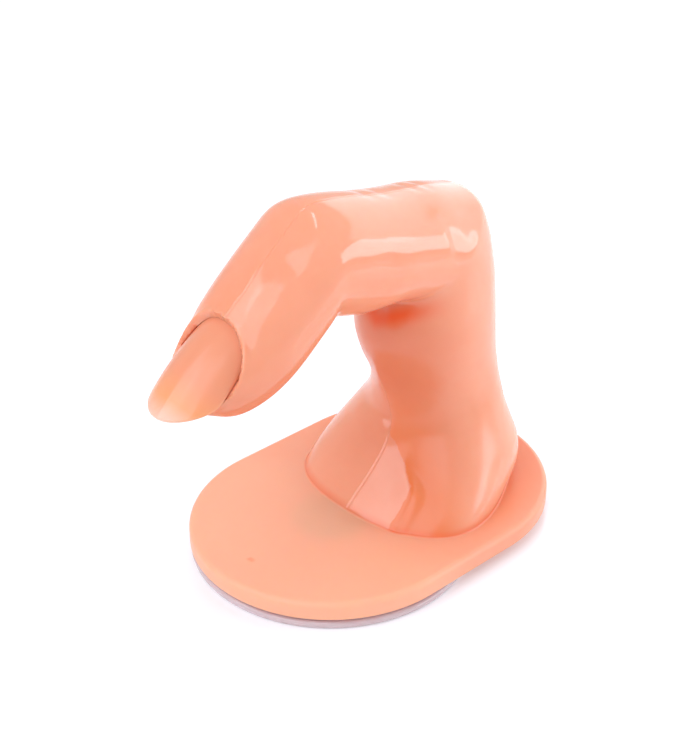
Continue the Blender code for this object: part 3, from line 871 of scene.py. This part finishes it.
def skin_vinyl():
    """Soft glossy vinyl: light goes in and comes back orange, the tone drifts slowly, and
    the gloss is broken by a faint orange peel. Painted shade darkens the bend's fold, the
    shaft, the fingertip, the root's low side and foot and the base round it, and painted
    light makes the base's top paler towards its front."""
    material, shader, wire = new_material("skin_vinyl", {
        "Roughness": 0.14,
        "IOR": 1.5,
        "Subsurface Weight": 0.35,
        "Subsurface Radius": (1.0, 0.32, 0.15),
        "Subsurface Scale": 4 * MM,
    })
    fine = noise(wire, FINE_SCALE, 3)
    drift = noise(wire, DRIFT_SCALE, 2) * (1 - FINE_SHARE) + fine * FINE_SHARE
    tone = wire.node("ShaderNodeValToRGB", {"stops": SKIN_STOPS}, {"Fac": drift})
    x, y, z = place_axes(wire)
    ragged = (fine - 0.5) * RAGGED_WIDTH
    side = (y * y) ** 0.5
    away = x - BEND_PLACE[0] - y * y * BEND_CURVE
    up = z - BEND_PLACE[1] - side * BEND_RISE
    # Painted shade in the fold inside the bend
    bend = ((away / BEND_REACH) ** 2 + (up / BEND_HEIGHT) ** 2) ** 0.5
    bend = step(bend, 1.0, 0.0) * step(side, *BEND_SIDE) * BEND_SHADE_DEPTH
    # Painted shade on the shaft's face under the finger
    shaft_shade = step(x + y * SHAFT_SLANT, *SHAFT_FACE) * SHAFT_SHADE_DEPTH
    shaft_shade = shaft_shade * step(z, *SHAFT_LOW) * step(z, *SHAFT_HIGH)
    round_root = (((x - FOOT_CENTRE) / (ROOT_WIDTH / 2)) ** 2 + (y / (ROOT_WIDTH / 2)) ** 2) ** 0.5
    # Painted shade: a darker line along the root's foot
    foot = step(z, *FOOT_SHADE_LINE) * step(z, FOOT_TOP, FOOT_TOP + 0.1 * MM) * FOOT_SHADE_DEPTH
    # Painted shade and painted reflection of the root on the base round its foot
    apron_shade = step(round_root, FOOT_SPREAD, 1.0) * step(x, *FOOT_BACK)
    apron_shade = apron_shade * step(z, *APRON_TOP) * APRON_SHADE_DEPTH
    edge = z - y * FACET_EDGE_FALL - FACET_EDGE_HEIGHT + 0.5 * MM + ragged
    facet = step(edge, FACET_BLUR, 0.0) * step(y + ragged, FACET_SIDE, FACET_SIDE + FACET_BLUR)
    facet = facet * step(z, BASE_TOP, BASE_TOP + 0.3 * MM)
    plate = step(z, BASE_TOP + 0.2 * MM, BASE_TOP + 0.1 * MM)
    # Painted shade and painted reflection of the finger on the root's low near side
    low = step(x - y * LOW_SLANT, *LOW_RUN) * step(y, *LOW_SIDE) * step(z, *LOW_TOP)
    low = low * (1 - plate) * LOW_SHADE_DEPTH
    # Painted shade towards the fingertip
    end = step(x, *TIP_RUN) * (1 - plate) * TIP_SHADE_DEPTH
    tone = (1 - (1 - shaft_shade) * (1 - end)).mix(tone, SKIN_SHADE)
    # Painted shade and painted reflection on the root's low side and the base round its foot
    tone = (1 - (1 - low * (1 - facet)) * (1 - apron_shade)).mix(tone, SKIN_ORANGE_SHADE)
    # Painted light: the base's top paler towards its front
    tone = (plate * step(x, *PAINTED_LIGHT_RUN) * PAINTED_LIGHT_DEPTH).mix(tone, PLATE_PAINTED_LIGHT)
    # Painted shade in the bend's fold and along the root's foot
    tone = (1 - (1 - bend) * (1 - foot)).mix(tone, SKIN_DEEP_SHADE)
    wire.tree.links.new(tone.socket, shader.inputs["Base Color"])
    polish = 1 - (1 - facet) * (1 - step(z, *POLISHED_ABOVE))
    rough = (1 - polish) * SATIN_ROUGHNESS + plate * PLATE_ROUGHNESS
    rough = rough + POLISHED_ROUGHNESS + fine * FINE_ROUGHNESS
    wire.tree.links.new(rough.socket, shader.inputs["Roughness"])
    peel = noise(wire, 900, 2)
    bump = wire.node("ShaderNodeBump", None, {"Strength": 0.12, "Distance": 0.06 * MM, "Height": peel})
    wire.tree.links.new(bump.socket, shader.inputs["Normal"])
    return material


finger.data.materials.append(skin_vinyl())
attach(finger, "finger")
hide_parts("finger_body")


# Nail tip: a thin arched shell of milky plastic with a rounded rim, pushed into the slot
# under the fold. Where it lies on the bed it takes the skin's colour, and its free end
# turns to a clear ivory.
NAIL_RIM_STEPS = 9
NAIL_RIM_POINTS = 420
NAIL_RINGS = 32
NAIL_FIRST_SHARE = 0.03


def nail_shell():
    """The nail as rings round its outline: over the top from its middle to the rim, round
    the rim in a half circle, and back under it. The ring's size is the first parameter
    and the place on the outline the second."""
    start = -NAIL_TUCK / NAIL_SHOWN
    length = 1 - start
    half = NAIL_RIM_POINTS // 2
    steps = start + length * (1 - np.cos(np.linspace(0, math.pi, half + 1))) / 2
    back = np.clip((NAIL_WIDEST_SHARE - steps) / (NAIL_WIDEST_SHARE - start), 0, 1)
    end = (1 - back ** NAIL_END_FULLNESS) ** (1 / NAIL_END_FULLNESS)
    width = NAIL_WIDTH / 2 * side_share(steps) * end
    one_side = np.stack((steps * NAIL_SHOWN, width), -1)
    other_side = one_side * (1, -1)
    closed = np.concatenate((one_side[:-1], other_side[:0:-1], one_side[:1]))
    runs = np.linalg.norm(np.diff(closed, axis=0), axis=1)
    even = np.concatenate(([0.0], np.cumsum(runs)))
    places = np.linspace(0, even[-1], NAIL_RIM_POINTS, endpoint=False)
    outline = np.stack([np.interp(places, even, closed[:, k]) for k in (0, 1)], -1)
    tangent = np.roll(outline, -1, 0) - np.roll(outline, 1, 0)
    inward = np.stack((tangent[:, 1], -tangent[:, 0]), -1)
    inward /= np.linalg.norm(inward, axis=1, keepdims=True)
    centre = np.array((NAIL_SHOWN * (start + 0.5 * length), 0))
    inward *= np.sign(((centre - outline) * inward).sum(1, keepdims=True))
    edge = NAIL_THICKNESS / 2
    inner = outline + inward * edge
    rings = []
    spread = np.linspace(NAIL_FIRST_SHARE, 1, NAIL_RINGS)
    for share in spread:
        rings.append((centre + (inner - centre) * share, np.full(NAIL_RIM_POINTS, NAIL_THICKNESS)))
    for bend in np.linspace(math.pi / 2, -math.pi / 2, NAIL_RIM_STEPS + 2)[1:-1]:
        level = np.full(NAIL_RIM_POINTS, edge * (1 + math.sin(bend)))
        rings.append((inner - inward * edge * math.cos(bend), level))
    for share in spread[::-1]:
        rings.append((centre + (inner - centre) * share, np.zeros(NAIL_RIM_POINTS)))
    plan = np.stack([ring for ring, _ in rings])
    height = np.stack([level for _, level in rings])
    angle = np.arcsin(np.clip(plan[..., 1] / NAIL_RADIUS, -1, 1))
    points = nail_surface(plan[..., 0] / NAIL_SHOWN, angle, height)[:, ::-1]
    poles = nail_surface(np.full(2, centre[0] / NAIL_SHOWN), np.zeros(2), np.array((NAIL_THICKNESS, 0.0)))
    return points, poles


NAIL_BED_TONE = linear(243, 153, 116)
NAIL_FREE_TONE = linear(241, 162, 112)
NAIL_EDGE_TONE = linear(242, 192, 170)
# The free end begins between these two shares of the nail's length
NAIL_FREE_START = (0.55, 0.80)
NAIL_STOPS = (
    (0.0, NAIL_BED_TONE),
    (NAIL_FREE_START[0], NAIL_BED_TONE),
    (NAIL_FREE_START[1], NAIL_FREE_TONE),
    (0.97, NAIL_EDGE_TONE),
)
WISP_SCALE = 260
WISP_SHIFT = 0.08


def nail_plastic():
    """Milky nail plastic. The colour follows the place along the nail's slope, read as the
    dot product of the object's place with the slope's direction."""
    material, shader, wire = new_material("nail_plastic", {
        "Roughness": 0.10,
        "IOR": 1.49,
        "Subsurface Weight": 0.3,
        "Subsurface Radius": (1.0, 0.6, 0.4),
        "Subsurface Scale": 1.5 * MM,
        "Transmission Weight": 0.12,
    })
    place = wire.node("ShaderNodeTexCoord", output="Object")
    way = (nail_along[0] / NAIL_SHOWN, 0.0, nail_along[1] / NAIL_SHOWN)
    start = float(nail_start @ nail_along) / NAIL_SHOWN
    dot = {"operation": "DOT_PRODUCT"}
    along = wire.node("ShaderNodeVectorMath", dot, {0: place, 1: way}, output="Value") - start
    wisp = noise(wire, WISP_SCALE, 2)
    along = along + (wisp - 0.5) * WISP_SHIFT
    tone = wire.node("ShaderNodeValToRGB", {"stops": NAIL_STOPS}, {"Fac": along})
    wire.tree.links.new(tone.socket, shader.inputs["Base Color"])
    free = step(along, *NAIL_FREE_START)
    rough = (1 - free) * 0.17 + 0.08 + wisp * 0.02
    wire.tree.links.new(rough.socket, shader.inputs["Roughness"])
    grain = noise(wire, 1400, 2)
    bump = wire.node("ShaderNodeBump", None, {"Strength": 0.08, "Distance": 0.04 * MM, "Height": grain})
    wire.tree.links.new(bump.socket, shader.inputs["Normal"])
    return material


nail_points, nail_poles = nail_shell()
nail = add_piece("clear_nail_tip", ring_mesh("clear_nail_tip", nail_points, *nail_poles))
shade(nail, 50)
nail.data.materials.append(nail_plastic())
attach(nail, "nail")
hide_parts("nail_tip")


# Suction cup: a thin turned dish of cloudy clear vinyl. Its stud has a head that is
# pushed through the lip of the socket in the base, and its rim ends in a soft bead.
CUP_RIM_THICKNESS = 1.2 * MM
CUP_RIM_FLAT = 1.6 * MM
CUP_HOLLOW = 1.0 * MM
CUP_POINTS = 300
CUP_HOLLOW_RINGS = 40
CUP_BEAD_RINGS = 14
CUP_SHOULDER_RINGS = 30
STUD_EDGE = 0.15 * MM


def cup_profile():
    """Radius and height along the dish: up the hollow from the middle to the rim, round
    the bead, over the shoulder and up the stud to its head."""
    inner = CUP_RADIUS - CUP_RIM_FLAT
    web_top = BASE_UNDERSIDE + RELIEF_DEPTH - RUNNING_GAP
    head_low = BASE_UNDERSIDE + RELIEF_DEPTH + SOCKET_LIP + RUNNING_GAP
    head_high = head_low + STUD_HEAD_THICKNESS
    radius = np.linspace(0.02, 1, CUP_HOLLOW_RINGS) * inner
    hollow = np.stack((radius, CUP_HOLLOW * (1 - (radius / inner) ** 2)), -1)
    bead = CUP_RIM_THICKNESS / 2
    bend = np.linspace(-math.pi / 2, math.pi / 2, CUP_BEAD_RINGS)
    rim = np.stack((CUP_RADIUS - bead + bead * np.cos(bend), bead * (1 + np.sin(bend))), -1)
    share = np.linspace(0.04, 1, CUP_SHOULDER_RINGS)
    shoulder = np.stack((CUP_RADIUS - bead + (CUP_SHOULDER_RADIUS - CUP_RADIUS + bead) * share,
                         2 * bead + (web_top - 2 * bead) * (3 - 2 * share) * share ** 2), -1)
    stud = np.array((
        (STUD_NECK_RADIUS + STUD_EDGE, web_top),
        (STUD_NECK_RADIUS, web_top + STUD_EDGE),
        (STUD_NECK_RADIUS, head_low),
        (STUD_HEAD_RADIUS - STUD_EDGE, head_low),
        (STUD_HEAD_RADIUS, head_low + STUD_EDGE),
        (STUD_HEAD_RADIUS, head_high - STUD_EDGE),
        (STUD_HEAD_RADIUS - STUD_EDGE, head_high),
        (0.1 * STUD_HEAD_RADIUS, head_high),
    ))
    return np.concatenate((hollow, rim, shoulder, stud)), CUP_HOLLOW, head_high


CLOUDY = linear(232, 192, 192)
CLOUDY_PALE = linear(250, 236, 242)


def cloudy_vinyl():
    """Clear vinyl gone cloudy: mostly see-through, with milky patches and fine bubbles."""
    material, shader, wire = new_material("cloudy_vinyl", {
        "Roughness": 0.2,
        "IOR": 1.45,
        "Transmission Weight": 0.35,
        "Subsurface Weight": 0.5,
        "Subsurface Radius": (1.0, 0.9, 1.0),
        "Subsurface Scale": 2 * MM,
    })
    cloud = noise(wire, 700, 3) * 0.5 + noise(wire, 120, 2) * 0.5
    tone = cloud.mix(CLOUDY, CLOUDY_PALE)
    wire.tree.links.new(tone.socket, shader.inputs["Base Color"])
    rough = 0.12 + cloud * 0.2
    wire.tree.links.new(rough.socket, shader.inputs["Roughness"])
    bubbles = noise(wire, 1500, 2)
    bump = wire.node("ShaderNodeBump", None, {"Strength": 0.3, "Distance": 0.1 * MM, "Height": bubbles})
    wire.tree.links.new(bump.socket, shader.inputs["Normal"])
    return material


profile, hollow_top, stud_top = cup_profile()
turns = -math.tau * np.arange(CUP_POINTS) / CUP_POINTS
cup_rings = np.stack([circle_ring(turns, radius, height) for radius, height in profile])
cup = add_piece("clear_suction_cup", ring_mesh("clear_suction_cup", cup_rings[:, ::-1],
                                               (CUP_AXIS, 0, hollow_top), (CUP_AXIS, 0, stud_top)))
shade(cup, 40)
cup.data.materials.append(cloudy_vinyl())
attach(cup, "cup")
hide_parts("suction_cup")


# Floor: a plain white glossy sheet, wide enough to fill every view.
FLOOR_HALF = 1.5
FLOOR_HEIGHT = -0.05 * MM


def floor_sheet():
    """The floor's square, with a little light of its own, as a white studio floor has."""
    material, _, _ = new_material("white_floor", {
        "Base Color": linear(244, 244, 246),
        "Roughness": 0.12,
        "Emission Color": (1.0, 1.0, 1.0, 1.0),
        "Emission Strength": 0.12,
    })
    mesh = bpy.data.meshes.new("floor")
    sides = ((-1, -1), (1, -1), (1, 1), (-1, 1))
    corners = [(x * FLOOR_HALF, y * FLOOR_HALF, FLOOR_HEIGHT) for x, y in sides]
    mesh.from_pydata(corners, [], [(0, 1, 2, 3)])
    mesh.materials.append(material)
    return add_piece("floor", mesh)


floor_sheet()

# Light: white surroundings, and softboxes placed where the gloss on the finger shows them.
# Each: azimuth, elevation, width and height in degrees as seen from the finger, radiance.
LIGHT_DISTANCE = 0.6
SURROUNDINGS = 0.68
SOFTBOX_TINT = (0.92, 0.98, 1.10)
SOFTBOXES = (
    ("left_box", -111.5, 38, 39, 40, 2.0),
    ("top_box", -68.5, 38, 47, 44, 1.5),
    ("right_box", 40, 14.5, 36, 18, 3.5),
    ("side_fill", 92, 8, 76, 62, 1.3),
    ("overhead", 137, 84, 34, 34, 5.6),
)
look_at = np.array((0.0, 0.0, 0.035))


def direction(azimuth, elevation):
    """Unit vector towards a place seen at these angles in degrees, azimuth 0 along -Y."""
    a, e = math.radians(azimuth), math.radians(elevation)
    return np.array((math.sin(a) * math.cos(e), -math.cos(a) * math.cos(e), math.sin(e)))


def aim(thing, place, back):
    """Put a light or camera at a place with its own +Z axis along back, level at the sides."""
    side = np.cross((0, 0, 1), back)
    side /= np.linalg.norm(side)
    up = np.cross(back, side)
    rows = np.column_stack((side, up, back, place))
    thing.matrix_world = Matrix((*rows.tolist(), (0, 0, 0, 1)))


for name, azimuth, elevation, width, height, radiance in SOFTBOXES:
    light = bpy.data.lights.new(name, "AREA")
    light.shape = "RECTANGLE"
    light.color = SOFTBOX_TINT
    light.size = 2 * LIGHT_DISTANCE * math.tan(math.radians(width / 2)) * math.cos(math.radians(elevation))
    light.size_y = 2 * LIGHT_DISTANCE * math.tan(math.radians(height / 2))
    light.energy = 4 * radiance * light.size * light.size_y
    box = bpy.data.objects.new(name, light)
    box.visible_camera = False
    bpy.context.scene.collection.objects.link(box)
    back = direction(azimuth, elevation)
    aim(box, look_at + back * LIGHT_DISTANCE, back)

world = bpy.data.worlds.new("white_studio")
world.use_nodes = True
world.node_tree.nodes["Background"].inputs["Color"].default_value = (1.0, 1.0, 1.0, 1.0)
world.node_tree.nodes["Background"].inputs["Strength"].default_value = SURROUNDINGS
bpy.context.scene.world = world
bpy.context.scene.view_settings.view_transform = "Standard"

# Camera: the photograph's view, down on the front left of the finger.
CAMERA_AZIMUTH = -42.87
CAMERA_ELEVATION = 31.06
CAMERA_DISTANCE = 258.3 * MM
CAMERA_TARGET = np.array((BASE_CENTRE - 5.48 * MM, 0, 29.69 * MM))
CAMERA_LENS = 79.14
CAMERA_SENSOR = 36
CAMERA_NEAREST = 0.01
camera = bpy.data.objects.new("camera", bpy.data.cameras.new("camera"))
bpy.context.scene.collection.objects.link(camera)
camera.data.lens = CAMERA_LENS
camera.data.sensor_width = CAMERA_SENSOR
camera.data.clip_start = CAMERA_NEAREST
camera_back = direction(CAMERA_AZIMUTH, CAMERA_ELEVATION)
aim(camera, CAMERA_TARGET + camera_back * CAMERA_DISTANCE, camera_back)
bpy.context.scene.camera = camera
